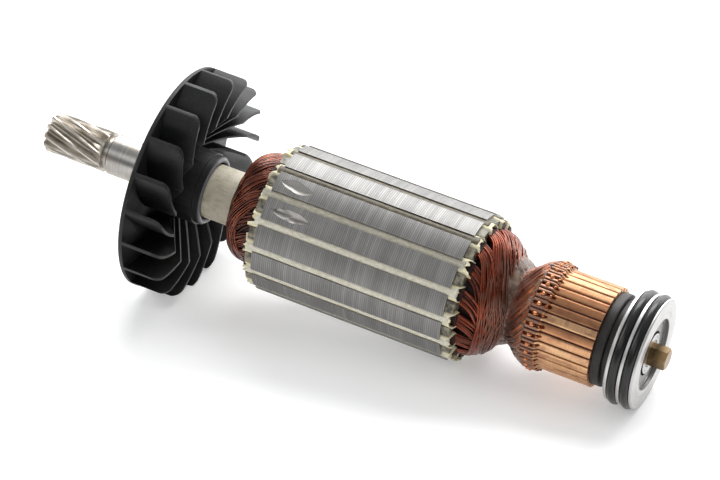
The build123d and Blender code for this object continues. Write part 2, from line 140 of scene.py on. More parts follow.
def grain(tree, place, size, detail=3.0, rough=0.5):
    """Lay an uneven pattern whose grain has this size in millimetres, alike or along X, Y and Z."""
    scale = [1 / (s * MM) for s in (size if isinstance(size, tuple) else [size] * 3)]
    spot = add(tree, "ShaderNodeMapping", None, {"Vector": place, "Scale": scale})
    return add(tree, NOISE, None, {"Vector": spot, "Scale": 1.0, "Detail": detail, "Roughness": rough})


def blend(tree, pattern, start, end, first, second, most=1.0):
    """Go from the first colour to the second as a pattern goes from start to end, or part of the way."""
    share = add(tree, RANGE, None, (pattern, start, end, 0.0, most))
    return add(tree, MIX, RGBA, {0: share, 6: first, 7: second})


def from_axis(tree, place):
    """Give the station along the shaft and the distance from its axis."""
    split = add(tree, SPLIT, None, (place,)).outputs
    flat = add(tree, JOIN, None, (0.0, split[1], split[2]))
    return split[0], add(tree, VECTOR, "LENGTH", (flat,)).outputs["Value"]


def start_material(name, inputs):
    """Start a material with what is the same all over it. Give back it, its tree and its coordinates."""
    material = bpy.data.materials.new(name)
    material.use_nodes = True
    tree = material.node_tree
    fill(tree, tree.nodes["Principled BSDF"], inputs)
    return material, tree, add(tree, "ShaderNodeTexCoord").outputs["Object"]


def end_material(material, colour, rough=None, relief=None, depth=0.0, strength=0.5):
    """End a material with its colour, its roughness, and the pattern of its relief with a depth in mm."""
    tree = material.node_tree
    inputs = {"Base Color": colour}
    if rough:
        inputs["Roughness"] = rough
    if relief:
        marks = {"Height": relief, "Distance": depth * MM, "Strength": strength}
        inputs["Normal"] = add(tree, "ShaderNodeBump", None, marks)
    fill(tree, tree.nodes["Principled BSDF"], inputs)
    return material


def ground_steel():
    """Case-hardened steel, hobbed and ground: bright, with fine rings; the hexagon end is stained bronze."""
    material, tree, place = start_material("case_hardened_steel_ground", {"Metallic": 1.0})
    station = add(tree, SPLIT, None, (place,)).outputs[0]
    # Grinding marks are under 0.1 mm apart, drawn about 0.3 mm wide so that they show.
    rings = grain(tree, place, (0.3, 25, 25), 2.0)
    patches = grain(tree, place, (5, 4, 4))
    ground = blend(tree, rings, 0.35, 0.65, "#908e8a", "#acaaa6")
    bright = blend(tree, station, BEARING_SEAT_START, BEARING_SEAT_START + 0.5 * MM, "#bab4ab", ground)
    oiled = blend(tree, patches, 0.45, 0.7, bright, "#948b7f")
    bronze = blend(tree, patches, 0.45, 0.7, "#7d6748", "#927b5a")
    at_hexagon = add(tree, RANGE, None, (station, hexagon_start, hexagon_start + 0.4 * MM))
    colour = add(tree, MIX, RGBA, {0: at_hexagon, 6: oiled, 7: bronze})
    dulled = add(tree, RANGE, None, (patches, 0.3, 0.7, 0.28, 0.38))
    return end_material(material, colour, add(tree, MATH, "MULTIPLY_ADD", (at_hexagon, -0.03, dulled)))


def moulded_nylon():
    """Glass-filled nylon, injection moulded: black and satin, with a fine sparkling grain."""
    material, tree, place = start_material("glass_filled_nylon_moulded", {"IOR": 1.43})
    # The spark-eroded grain is about 0.15 mm, drawn at 0.45 mm so that it shows.
    eroded = grain(tree, place, 0.45, rough=0.7)
    flow = grain(tree, place, 9, 2.0)
    black = blend(tree, eroded, 0.52, 0.75, "#080809", "#2c2c2f")
    # The lip at the hub's end is drawn smoother and glossier, and painted light grey as a highlight.
    station, reach = from_axis(tree, place)
    at_lip = add(tree, RANGE, None, (station, FAN_HUB_LENGTH - 1.1 * MM, FAN_HUB_LENGTH - 0.5 * MM))
    at_hub = add(tree, MATH, "COMPARE", (reach, FAN_LIP_RADIUS, 0.5 * MM))
    smooth_lip_painted_highlight = add(tree, MATH, "MULTIPLY", (at_lip, at_hub))
    colour = add(tree, MIX, RGBA, {0: smooth_lip_painted_highlight, 6: black, 7: "#6b6c70"})
    satin = add(tree, RANGE, None, (flow, 0.3, 0.7, 0.42, 0.56))
    rough = add(tree, MATH, "MULTIPLY_ADD", (smooth_lip_painted_highlight, -0.24, satin))
    return end_material(material, colour, rough, eroded, 0.06)


def insulating_tube():
    """Polyester tube, extruded: cream and matt, with brownish smudges and faint lengthwise scratches."""
    material, tree, place = start_material("polyester_tube_extruded", {"Roughness": 0.55, "IOR": 1.5})
    smudge = grain(tree, place, (4, 2.2, 2.2), 5.0, 0.6)
    scratches = grain(tree, place, (5, 0.3, 0.3))
    dirty = blend(tree, smudge, 0.46, 0.7, "#d2cab6", "#a39a7d", 0.75)
    scratched = blend(tree, scratches, 0.58, 0.7, dirty, "#9a9179", 0.3)
    return end_material(material, scratched, None, smudge, 0.08, 0.3)


def sheet_edges():
    """Electrical steel sheets, stacked and turned: grey, each edge a fine line, milled pockets bright."""
    material, tree, place = start_material("electrical_steel_turned", {"Metallic": 1.0})
    station, reach = from_axis(tree, place)
    # The sheets are 0.5 mm thick, drawn at 0.75 mm so that their edges show.
    sheet = add(tree, MATH, "DIVIDE", (station, 0.75 * MM))
    ridge = add(tree, MATH, "PINGPONG", (add(tree, MATH, "FRACT", (sheet,)), 0.5))
    shade = add(tree, WHITE_NOISE, BY_NUMBER, {"W": add(tree, MATH, "FLOOR", (sheet,))})
    packs = grain(tree, place, (3.5, 90, 90), rough=0.7)
    turning = grain(tree, place, (0.4, 5, 5))
    base = add(tree, MIX, RGBA, {0: shade, 6: "#868583", 7: "#979694"})
    packed = blend(tree, packs, 0.38, 0.62, base, "#757473", 0.55)
    turned = blend(tree, turning, 0.5, 0.75, packed, "#a9a8a6", 0.35)
    lined = blend(tree, ridge, 0.2, 0.0, turned, "#4b4a49", 0.75)
    uncut = add(tree, RANGE, None, (reach, stack_radius - 0.1 * MM, stack_radius - 0.05 * MM))
    colour = add(tree, MIX, RGBA, {0: uncut, 6: "#a5a29e", 7: lined})
    rough = add(tree, RANGE, None, (uncut, 0.0, 1.0, 0.42, 0.52))
    height = add(tree, MATH, "MULTIPLY", (ridge, uncut))
    return end_material(material, colour, rough, height, 0.1, 0.35)


def slot_paper():
    """Slot paper, cut and folded: cream and matt, with short fibres and yellowed by varnish in places."""
    material, tree, place = start_material("slot_paper_cut", {"Roughness": 0.62, "IOR": 1.48})
    # The fibres are finer than 0.1 mm, drawn at 0.6 mm so that they show.
    fibre = grain(tree, place, 0.6, 4.0, 0.65)
    stain = grain(tree, place, 3)
    pale = blend(tree, fibre, 0.3, 0.7, "#d9cfa9", "#ece6cd")
    yellowed = blend(tree, stain, 0.48, 0.7, pale, "#cbbd85", 0.6)
    return end_material(material, yellowed, None, fibre, 0.1)


def closing_strip():
    """Slot-closing strip, pultruded glass laminate: pale grey-cream with a faint mottle, and painted dark
    brown shade on the strips near the top.
    """
    material, tree, place = start_material("glass_laminate_strip", {"Roughness": 0.45, "IOR": 1.5})
    mottle = grain(tree, place, (1.6, 0.8, 0.8), 4.0, 0.6)
    unshaded = blend(tree, mottle, 0.35, 0.65, "#c3bfab", "#dedaca")
    # Near the top the strips are painted dark brown: painted shade in their recessed mouths.
    darkened = blend(tree, mottle, 0.35, 0.65, "#40392b", "#6e654f")
    height = add(tree, SPLIT, None, (place,)).outputs[2]
    colour = blend(tree, height, 17.5 * MM, 24 * MM, unshaded, darkened)
    return end_material(material, colour, None, mottle, 0.08, 0.4)


def enamelled_wire():
    """Enamelled copper wire, drawn: glossy red-brown, each wire a little lighter or darker than the next."""
    finish = {"Metallic": 0.9, "Roughness": 0.24, "Coat Weight": 0.65, "Coat Roughness": 0.05}
    material, tree, place = start_material("enamelled_copper_wire_drawn", finish)
    wire = add(tree, "ShaderNodeAttribute", {"attribute_name": "wire"}).outputs["Fac"]
    base = add(tree, MIX, RGBA, {0: wire, 6: "#441709", 7: "#954a28"})
    return end_material(material, blend(tree, grain(tree, place, 4), 0.42, 0.68, base, "#3a1007", 0.6))


def dipped_resin():
    """Polyester dipping resin, cured: half glossy, grey-brown at the waist, dark red-brown by the stack."""
    material, tree, place = start_material("dipping_resin_cured", {"IOR": 1.5})
    station = add(tree, SPLIT, None, (place,)).outputs[0]
    mottle = grain(tree, place, 2.8, 4.0)
    grey = blend(tree, mottle, 0.36, 0.66, "#40291f", "#86705f")
    dark = blend(tree, mottle, 0.36, 0.66, "#220d08", "#57281b")
    towards_waist = add(tree, RANGE, SMOOTH, (station, waist - 9 * MM, waist - 3.5 * MM))
    colour = add(tree, MIX, RGBA, {0: towards_waist, 6: dark, 7: grey})
    rough = add(tree, RANGE, None, (mottle, 0.3, 0.7, 0.14, 0.36))
    return end_material(material, colour, rough, mottle, 0.3)


def varnished_wire():
    """Copper wire under dipping resin: brown, orange where the resin is thin and grey where it is thick."""
    finish = {"Metallic": 0.85, "Coat Weight": 0.35, "Coat Roughness": 0.06}
    material, tree, place = start_material("copper_wire_under_resin", finish)
    wire = add(tree, "ShaderNodeAttribute", {"attribute_name": "wire"}).outputs["Fac"]
    station = add(tree, SPLIT, None, (place,)).outputs[0]
    patches = grain(tree, place, 3.5, 4.0)
    coil = add(tree, MIX, RGBA, {0: wire, 6: "#431508", 7: "#944122"})
    lead = add(tree, MIX, RGBA, {0: wire, 6: "#6f3219", 7: "#c27a4b"})
    base = blend(tree, station, waist + 1.5 * MM, waist + 7.0 * MM, coil, lead)
    # The resin is thickest a little behind the waist.
    away = add(tree, MATH, "ABSOLUTE", (add(tree, MATH, "SUBTRACT", (station, waist - 2 * MM)),))
    thick = add(tree, RANGE, None, (away, 1.0 * MM, 8.5 * MM, 0.22, -0.06))
    cover = add(tree, MATH, "ADD", (thick, patches))
    covered = blend(tree, cover, 0.45, 0.7, base, "#755243", 0.8)
    return end_material(material, covered, add(tree, RANGE, None, (patches, 0.3, 0.7, 0.24, 0.4)))


def commutator_copper():
    """Commutator copper, turned: warm and half bright, each bar a little different, with fine rings."""
    material, tree, place = start_material("commutator_copper_turned", {"Metallic": 1.0})
    station, y, z = add(tree, SPLIT, None, (place,)).outputs
    angle = add(tree, MATH, "ARCTAN2", (z, y))
    # Each bar's number changes in the gap before it, half a pitch from its middle, and stays above zero.
    bar = add(tree, MATH, "MULTIPLY_ADD", (angle, 1 / BAR_PITCH, 100.5))
    each = add(tree, WHITE_NOISE, BY_NUMBER, {"W": add(tree, MATH, "FLOOR", (bar,))}).outputs["Value"]
    # Turning marks are about 0.1 mm apart, drawn at 0.4 mm so that they show.
    rings = grain(tree, place, (0.4, 9, 9), 4.0, 0.7)
    stain = grain(tree, place, (5, 2.5, 2.5))
    base = add(tree, MIX, RGBA, {0: each, 6: "#bb8560", 7: "#efc79a"})
    ringed = blend(tree, rings, 0.35, 0.65, base, "#b87850", 0.4)
    darkened = blend(tree, stain, 0.47, 0.68, ringed, "#9b6550", 0.6)
    front = riser_start + RISER_LENGTH
    dulled = blend(tree, station, front - 0.9 * MM, front - 1.2 * MM, darkened, "#94705e")
    # The weld leaves a burnt spot at the front edge of each riser.
    part = add(tree, MATH, "FRACT", (bar,))
    aside = add(tree, RANGE, {"clamp": False}, (part, 0.0, 1.0, -2.2, 2.2))
    ahead = add(tree, RANGE, {"clamp": False}, (station, front - 1.2 * MM, front + 1.2 * MM, -1.0, 1.0))
    far = add(tree, VECTOR, "LENGTH", (add(tree, JOIN, None, (ahead, aside, 0.0)),)).outputs["Value"]
    ragged = add(tree, MATH, "MULTIPLY_ADD", (stain, 1.6, far))
    burnt = blend(tree, ragged, 1.75, 1.35, dulled, "#5a2614")
    rough = add(tree, RANGE, None, (each, 0.0, 1.0, 0.35, 0.46))
    return end_material(material, burnt, rough, rings, 0.015)


def fused_copper():
    """Copper bead, fused: bright on top, stained brown and purple by the heat at its foot."""
    material, tree, place = start_material("copper_fused", {"Metallic": 1.0, "Roughness": 0.26})
    reach = from_axis(tree, place)[1]
    stain = grain(tree, place, 0.9)
    burnt = add(tree, MIX, RGBA, {0: stain, 6: "#30130a", 7: "#743a22"})
    bright = blend(tree, reach, riser_radius - 0.35 * MM, riser_radius + 0.3 * MM, burnt, "#d68b60")
    return end_material(material, bright, None, stain, 0.12, 0.4)


def moulded_phenolic():
    """Phenolic resin, moulded and turned: black and satin, with faint rings."""
    material, tree, place = start_material("phenolic_moulded", {"Roughness": 0.5, "IOR": 1.48})
    # Turning marks are about 0.1 mm apart, drawn at 0.5 mm so that they show.
    rings = grain(tree, place, (0.5, 8, 8))
    colour = blend(tree, grain(tree, place, 0.5), 0.4, 0.75, "#0e0a08", "#26201d")
    return end_material(material, colour, None, rings, 0.05)


def turned_aluminium():
    """Aluminium, turned: pale and satin, with fine rings on its rims and faces and a few dull spots."""
    material, tree, place = start_material("aluminium_turned", {"Metallic": 1.0, "Roughness": 0.42})
    station, reach = from_axis(tree, place)
    # The tool's feed leaves rings 0.15 mm apart, drawn at 0.35 mm so that they show.
    turn = add(tree, JOIN, None, (station, reach, 0.0))
    rings = grain(tree, turn, (0.35, 0.35, 1), rough=0.65)
    base = blend(tree, rings, 0.35, 0.65, "#b2b1af", "#cac9c7")
    spotted = blend(tree, grain(tree, place, 3), 0.55, 0.72, base, "#a9a6a2", 0.3)
    # The bore round the bearing is painted dark grey, as the shade inside the recess.
    edge = BEARING_RADIUS + 0.25 * MM
    painted_bore_shade = blend(tree, reach, edge, edge - 0.2 * MM, spotted, "#5a5957", 0.85)
    return end_material(material, painted_bore_shade, None, rings, 0.02)


def mottled(name, inputs, pattern, colours, depth=0.0, strength=0.5):
    """Make a material of two mottled colours. Its pattern is a size in mm, a detail, a start and an end."""
    material, tree, place = start_material(name, inputs)
    size, detail, start, end = pattern
    mottle = grain(tree, place, size, detail)
    colour = blend(tree, mottle, start, end, *colours)
    return end_material(material, colour, None, mottle if depth else None, depth, strength)


def fibre_board():
    """Vulcanised fibre board, punched: olive grey and slightly shiny, darker where varnish soaked in."""
    finish = {"Roughness": 0.4, "IOR": 1.5}
    pattern = (1.8, 4.0, 0.38, 0.62)
    return mottled("vulcanised_fibre_board", finish, pattern, ("#3f3b31", "#8f8975"), 0.15)


def winding_core():
    """Wires deep in the winding, under varnish: painted nearly black red-brown as the shade between the
    wires, with faint ridges.
    """
    finish = {"Roughness": 0.6, "IOR": 1.4}
    pattern = (1.2, 3.0, 0.38, 0.65)
    return mottled("varnished_winding_core", finish, pattern, ("#100503", "#38130a"), 0.3, 0.6)


def undercut_mica():
    """Mica between the bars, undercut: dark brown and matt, dusty with copper."""
    finish = {"Roughness": 0.75, "IOR": 1.58}
    return mottled("mica_undercut", finish, (0.8, 4.0, 0.4, 0.7), ("#2c1209", "#66301a"))


def plain_steel(name, rough, colours):
    """Steel without wear: grey, with fine rings round the axis."""
    # The rings are under 0.1 mm apart, drawn about 0.3 mm wide so that they show.
    finish = {"Metallic": 1.0, "Roughness": rough}
    return mottled(name, finish, ((0.3, 6, 6), 3.0, 0.35, 0.65), colours)


def seal_rubber():
    """Nitrile rubber, moulded: black, with a soft broad sheen and a little dust."""
    finish = {"Roughness": 0.28, "IOR": 1.47}
    pattern = (0.7, 3.0, 0.5, 0.78)
    return mottled("nitrile_rubber_moulded", finish, pattern, ("#070708", "#17171a"), 0.03, 0.4)


nylon = moulded_nylon()
laminations = sheet_edges()
paper = slot_paper()
strip = closing_strip()
enamel = enamelled_wire()
core = winding_core()
resin = dipped_resin()
varnished = varnished_wire()
copper = commutator_copper()
fused = fused_copper()
phenolic = moulded_phenolic()
aluminium = turned_aluminium()
rubber = seal_rubber()
# Bearing steel, ground: mid grey and half bright. Sheet steel, pressed: darker and duller.
bearing = plain_steel("bearing_steel_ground", 0.28, ("#8b8a88", "#b2b1af"))
sheet = plain_steel("sheet_steel_pressed", 0.36, ("#71716f", "#92918f"))

finishes = (
    (ground_steel(), ("shaft",)),
    (nylon, ("cooling_fan",)),
    (insulating_tube(), ("shaft_tube_drive", "shaft_tube_commutator")),
    (laminations, ("lamination_stack",)),
    (fibre_board(), ("end_insulation_drive", "end_insulation_commutator")),
    (paper, ("slot_liners",)),
    (strip, ("slot_wedges",)),
    (core, ("slot_conductors", "end_turns_drive")),
    (resin, ("end_turns_commutator", "commutator_leads")),
    (copper, ("commutator_bars",)),
    (undercut_mica(), ("commutator_mica",)),
    (fused, ("fused_wire_ends",)),
    (phenolic, ("commutator_moulding",)),
    (bearing, ("bearing_inner_ring", "bearing_outer_ring", "bearing_balls")),
    (bearing, ("bearing_spacer", "commutator_bush")),
    (sheet, ("bearing_shield_back", "bearing_shield_front", "bearing_cage")),
    (aluminium, ("bearing_sleeve",)),
    (rubber, ("seal_ring_back", "seal_ring_front")),
)
for material, names in finishes:
    for name in names:
        nodes[name].data.materials.clear()
        nodes[name].data.materials.append(material)


def show(name, data):
    """Put an object with this data into the scene."""
    thing = bpy.data.objects.new(name, data)
    bpy.context.scene.collection.objects.link(thing)
    return thing


def settle(piece, stands_for=(), body="rotor"):
    """Let a finished piece ride on its body, and hide the solids that it stands for."""
    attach(piece, body)
    if stands_for:
        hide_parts(*stands_for)


def dress(mesh, sharp, material):
    """Shade a mesh smooth, but for edges sharper than this many degrees, and give it its material."""
    mesh.shade_smooth()
    mesh.set_sharp_from_angle(angle=radians(sharp))
    mesh.materials.clear()
    mesh.materials.append(material)


def make_plain(piece):
    """Turn a piece and its modifier into a plain mesh."""
    graph = bpy.context.evaluated_depsgraph_get()
    made = bpy.data.meshes.new_from_object(piece.evaluated_get(graph))
    piece.modifiers.clear()
    piece.data = made


def make_piece(name, vertices, faces, material):
    """Make an object of these vertices and faces, with its faces pointing outwards."""
    mesh = bpy.data.meshes.new(name)
    mesh.from_pydata(vertices, [], faces)
    work = bmesh.new()
    work.from_mesh(mesh)
    bmesh.ops.recalc_face_normals(work, faces=work.faces)
    work.to_mesh(mesh)
    work.free()
    dress(mesh, 40, material)
    return show(name, mesh)


def polar(station, radius, angle):
    """Give the point at a station along the shaft, a radius and an angle."""
    return Vector((station, radius * cos(angle), radius * sin(angle)))


def turned_body(name, outline, material, steps=160, lumps=0.0, sweep=0.0):
    """Turn a closed outline of (station, radius) about the shaft, with lumps that sweep round along it."""
    vertices, faces = [], []
    count = len(outline)
    for i in range(steps):
        angle = i * tau / steps
        after = (i + 1) % steps
        for j, (station, radius) in enumerate(outline):
            swept = angle - sweep * station
            lump = noise.noise(polar(station * LUMPS_ALONG, LUMPS_ROUND, swept))
            vertices.append(polar(station, radius + lumps * lump, angle))
            k = (j + 1) % count
            faces.append((i * count + j, i * count + k, after * count + k, after * count + j))
    return make_piece(name, vertices, faces, material)


def make_seal_rings():
    """Stretch a smooth round rubber ring into each groove of the sleeve."""
    points = 28
    for node in ("seal_ring_back", "seal_ring_front"):
        low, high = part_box(node)
        cord = (high.x - low.x) / 2
        leans = [tau * i / points for i in range(points)]
        outline = [(low.x + cord * (1 - cos(a)), high.z - cord * (1 - sin(a))) for a in leans]
        ring = turned_body(node + "_cord", outline, rubber, steps=180)
        settle(ring, [node], "sleeve")


def start_tree(name, sizes):
    """Start a Geometry Nodes tree with a named input for each size, and one for the material."""
    tree = bpy.data.node_groups.new(name, "GeometryNodeTree")
    tree.interface.new_socket("Geometry", in_out="INPUT", socket_type="NodeSocketGeometry")
    for key, value in sizes.items():
        kind = "NodeSocketInt" if isinstance(value, int) else "NodeSocketFloat"
        tree.interface.new_socket(key, in_out="INPUT", socket_type=kind).default_value = value
    tree.interface.new_socket("Material", in_out="INPUT", socket_type="NodeSocketMaterial")
    tree.interface.new_socket("Geometry", in_out="OUTPUT", socket_type="NodeSocketGeometry")
    return tree, add(tree, "NodeGroupInput").outputs


def end_tree(tree, given, geometry):
    """End a tree: smooth faces, real geometry and the material."""
    smooth = add(tree, "GeometryNodeSetShadeSmooth", None, {"Geometry": geometry})
    real = add(tree, "GeometryNodeRealizeInstances", None, (smooth,))
    painted = add(tree, "GeometryNodeSetMaterial", None, {"Geometry": real, "Material": given["Material"]})
    add(tree, "NodeGroupOutput", None, (painted,))


def grow(name, tree, sizes, material, stands_for=(), mesh=None):
    """Run a tree, on a mesh where it repeats one, and settle the plain mesh that comes of it."""
    piece = show(name, mesh or bpy.data.meshes.new(name))
    modifier = piece.modifiers.new("tree", "NODES")
    modifier.node_group = tree
    given = {**sizes, "Material": material}
    for item in tree.interface.items_tree:
        if item.in_out == "INPUT" and item.name in given:
            modifier[item.identifier] = given[item.name]
    make_plain(piece)
    settle(piece, stands_for)


def shape_curve(node, points):
    """Lay a Float Curve node through points that run from (0, y) to (1, y), and give it back."""
    curve = node.mapping.curves[0]
    curve.points[0].location = points[0]
    curve.points[-1].location = points[-1]
    for x, y in points[1:-1]:
        curve.points.new(x, y)
    node.mapping.update()
    return node


def drift(tree, spot, scale, amount):
    """Give a smooth random shift, of a size up to about this amount, that changes from spot to spot."""
    bumps = add(tree, NOISE, None, {"Vector": spot, "Scale": scale, "Detail": 1.0})
    centred = add(tree, VECTOR, "SUBTRACT", (bumps.outputs[1], (0.5, 0.5, 0.5)))
    return add(tree, VECTOR, "SCALE", {0: centred, "Scale": amount})


# The sizes that a winding's wires have where it gives no others
COIL = {
    "Bundles": SLOTS, "Wires": 5, "Layers": 2, "Points": 44, "Sides": 6, "Seed": 3,
    "First Angle": SLOT_PHASE, "Bundle Angle": SLOT_PITCH, "Twist": COIL_SPAN,
    "Reach": 1.0, "Reach Step": 0.045, "Reach Jitter": 0.06,
    "Start": 0.0, "Length": 10.0 * MM, "Outward": 1.0,
    "Inner Radius": 12.0 * MM, "Outer Radius": 23.0 * MM,
    "Spacing": 2.0 * WIRE_RADIUS, "Fan Out": 1.0, "Layer Drop": 1.7 * WIRE_RADIUS,
    "Lift": 0.0, "Sink": 4.0 * MM, "Wobble": 0.5 * MM, "Wire Radius": WIRE_RADIUS,
}


def wire_tree(name, course, turn, station, radius):
    """Build a tree that winds bundles of wires round the shaft.

    Along a wire, course gives how far it has come across the winding's section, and turn how far round.
    Across the section, station and radius give the section's outline. All of them run from 0 to 1.
    """
    tree, given = start_tree(name, COIL)
    line = add(tree, "GeometryNodeCurvePrimitiveLine", None, {"End": (1, 0, 0)})
    dotted = add(tree, "GeometryNodeResampleCurve", None, {"Curve": line, "Count": given["Points"]})
    each = add(tree, MATH, "MULTIPLY", (given["Wires"], given["Layers"]))
    total = add(tree, MATH, "MULTIPLY", (each, given["Bundles"]))
    copied = {"Geometry": dotted, "Amount": total}
    copies = add(tree, "GeometryNodeDuplicateElements", {"domain": "SPLINE"}, copied)
    number = copies.outputs["Duplicate Index"]

    # Each wire's bundle, and its column and layer there
    bundle = add(tree, MATH, "FLOOR", (add(tree, MATH, "DIVIDE", (number, each)),))
    within = add(tree, MATH, "MODULO", (number, each))
    column = add(tree, MATH, "MODULO", (within, given["Wires"]))
    layer = add(tree, MATH, "FLOOR", (add(tree, MATH, "DIVIDE", (within, given["Wires"])),))
    middle = add(tree, MATH, "MULTIPLY_ADD", (given["Wires"], 0.5, -0.5))
    offset = add(tree, MATH, "SUBTRACT", (column, middle))

    # How far the wire has come across the section at each point
    along = add(tree, "GeometryNodeSplineParameter").outputs["Factor"]
    crossed = shape_curve(add(tree, CURVE, None, {"Value": along}), course)
    step = add(tree, MATH, "MULTIPLY", (offset, given["Reach Step"]))
    even = add(tree, MATH, "SUBTRACT", (given["Reach"], step))
    chance = add(tree, RANDOM, None, {2: -1.0, 3: 1.0, "ID": number, "Seed": given["Seed"]})
    reach = add(tree, MATH, "MULTIPLY_ADD", (chance, given["Reach Jitter"], even))
    across = add(tree, MATH, "MULTIPLY", (crossed, reach))
    out = shape_curve(add(tree, CURVE, None, {"Value": across}), station)
    rise = shape_curve(add(tree, CURVE, None, {"Value": across}), radius)

    # Depth below the winding's outline, which lies along the section's normal
    dropped = add(tree, MATH, "MULTIPLY", (layer, given["Layer Drop"]))
    depth = add(tree, MATH, "MULTIPLY_ADD", (along, given["Sink"], dropped))
    deep = add(tree, MATH, "SUBTRACT", (depth, given["Lift"]))
    lean = add(tree, MATH, "MULTIPLY", (across, pi / 2))
    deep_in = add(tree, MATH, "MULTIPLY", (deep, add(tree, MATH, "COSINE", (lean,))))
    deep_back = add(tree, MATH, "MULTIPLY", (deep, add(tree, MATH, "SINE", (lean,))))

    # Uneven laying, where an odd step sets the wires' random courses apart
    seeded = add(tree, MATH, "MULTIPLY_ADD", (number, 0.731, given["Seed"]))
    stretched = add(tree, MATH, "MULTIPLY", (along, 3.0))
    spot = add(tree, JOIN, None, (stretched, seeded, bundle))
    sway_x, sway_r, sway_aside = add(tree, SPLIT, None, (drift(tree, spot, 1.0, given["Wobble"]),)).outputs

    # Station, radius and angle of each point
    gone = add(tree, MATH, "MULTIPLY_ADD", (out, given["Length"], sway_x))
    shallow = add(tree, MATH, "SUBTRACT", (gone, deep_back))
    x = add(tree, MATH, "MULTIPLY_ADD", (shallow, given["Outward"], given["Start"]))
    band = add(tree, MATH, "SUBTRACT", (given["Outer Radius"], given["Inner Radius"]))
    crest = add(tree, MATH, "MULTIPLY_ADD", (rise, band, given["Inner Radius"]))
    lowered = add(tree, MATH, "SUBTRACT", (crest, deep_in))
    r = add(tree, MATH, "ADD", (lowered, sway_r))
    turned = shape_curve(add(tree, CURVE, None, {"Value": along}), turn)
    slot_angle = add(tree, MATH, "MULTIPLY_ADD", (bundle, given["Bundle Angle"], given["First Angle"]))
    course_angle = add(tree, MATH, "MULTIPLY_ADD", (turned, given["Twist"], slot_angle))
    fade = add(tree, MATH, "MULTIPLY", (crossed, given["Fan Out"]))
    side = add(tree, MATH, "SUBTRACT", (1.0, fade))
    apart = add(tree, MATH, "MULTIPLY", (offset, given["Spacing"]))
    aside = add(tree, MATH, "MULTIPLY_ADD", (apart, side, sway_aside))
    angle = add(tree, MATH, "ADD", (course_angle, add(tree, MATH, "DIVIDE", (aside, r))))
    straight = add(tree, JOIN, None, (x, r, 0.0))
    twist = {"Vector": straight, "Angle": angle}
    spun = add(tree, "ShaderNodeVectorRotate", {"rotation_type": "X_AXIS"}, twist)

    laid = add(tree, "GeometryNodeSetPosition", None, {"Geometry": copies, "Position": spun})
    tone = add(tree, WHITE_NOISE, BY_NUMBER, {"W": number})
    kept = {"Geometry": laid, "Name": "wire", "Value": tone}
    named = add(tree, "GeometryNodeStoreNamedAttribute", None, kept)
    rim = {"Resolution": given["Sides"], "Radius": given["Wire Radius"]}
    section = add(tree, "GeometryNodeCurvePrimitiveCircle", None, rim)
    drawn = {"Curve": named, "Profile Curve": section, "Fill Caps": True}
    end_tree(tree, given, add(tree, "GeometryNodeCurveToMesh", None, drawn))
    return tree


# A coil leaves its slot almost straight, bends round the shaft and returns to a slot.
drive_course = ((0, 0), (0.05, 0.26), (0.12, 0.52), (0.22, 0.79), (0.35, 0.96))
rear_course = ((0, 0), (0.06, 0.3), (0.15, 0.56), (0.3, 0.83))
drive_tree = wire_tree(
    "drive_end_coils",
    (*drive_course, (0.5, 1), (0.7, 0.94), (0.9, 0.58), (1, 0)),
    ((0, 0), (0.05, 0.042), (0.12, 0.115), (0.5, 0.5), (0.9, 0.91), (1, 1)),
    ((0, 0), (0.2, 0.4), (0.4, 0.7), (0.6, 0.9), (0.8, 0.98), (1, 1)),
    ((0, 1), (0.2, 0.99), (0.4, 0.9), (0.6, 0.66), (0.8, 0.35), (1, 0)),
)
rear_tree = wire_tree(
    "commutator_end_coils",
    (*rear_course, (0.5, 1), *((1 - x, y) for x, y in reversed(rear_course))),
    ((0, 0), (0.06, 0.035), (0.15, 0.12), (0.5, 0.5), (0.85, 0.88), (0.94, 0.965), (1, 1)),
    ((0, 0), (0.2, 0.27), (0.4, 0.48), (0.6, 0.67), (0.8, 0.84), (1, 1)),
    ((0, 1), (0.2, 0.96), (0.4, 0.8), (0.6, 0.56), (0.8, 0.27), (1, 0)),
)

# A lead goes straight across, but rises from the waist in a soft step.
EVEN = ((0, 0), (1, 1))
lead_rise = ((0, 0), (0.2, 0.1), (0.5, 0.5), (0.8, 0.9), (1, 1))
lead_tree = wire_tree("commutator_leads", EVEN, EVEN, EVEN, lead_rise)


def make_drive_winding():
    """Wind the drive end: coils leave the slots, sweep round in a flat face and dive under the next."""
    coil = {
        "Start": stack_start - 1.0 * MM, "Length": DRIVE_LENGTH + EAR_LENGTH - 1.5 * MM, "Outward": -1.0,
        "Inner Radius": DRIVE_INNER, "Outer Radius": DRIVE_RADIUS,
        "Wires": 8, "Spacing": 0.7 * MM, "Wobble": 1.3 * MM, "Lift": -2.3 * MM, "Sink": 4.6 * MM,
        "Reach": 0.8, "Reach Step": 0.055, "Reach Jitter": 0.07,
    }
    grow("drive_winding_wires", drive_tree, coil, enamel)
    for side, first_slot in (("front", 2), ("back", 10)):
        last = {
            **coil, "Bundles": 4, "First Angle": SLOT_PHASE + first_slot * SLOT_PITCH,
            "Seed": 31 + first_slot, "Wire Radius": 0.38 * MM, "Spacing": 0.82 * MM,
            "Wobble": 0.9 * MM, "Lift": -1.2 * MM, "Sink": 1.6 * MM,
            "Reach": 0.64, "Reach Step": 0.062, "Reach Jitter": 0.02,
        }
        grow("drive_winding_last_coils_" + side, drive_tree, last, enamel)

    # The core is a quarter of an oval from the tube out to the stack, a little below the wires.
    ear = stack_start - EAR_LENGTH
    inside = ear + 2 * MM
    foot = TUBE_RADIUS + 0.8 * MM
    outline = []
    for i in range(13):
        lean = pi / 2 * i / 12
        station = inside - (DRIVE_LENGTH + 2 * MM - CORE_DEPTH) * cos(lean)
        outline.append((station, foot + (DRIVE_RADIUS - CORE_DEPTH - foot) * sin(lean)))
    outline += [(inside, TUBE_RADIUS), (ear - DRIVE_LENGTH + 2.8 * MM, TUBE_RADIUS)]
    body = turned_body("drive_winding_core", outline, core, lumps=0.5 * MM)
    settle(body, ["end_turns_drive"])


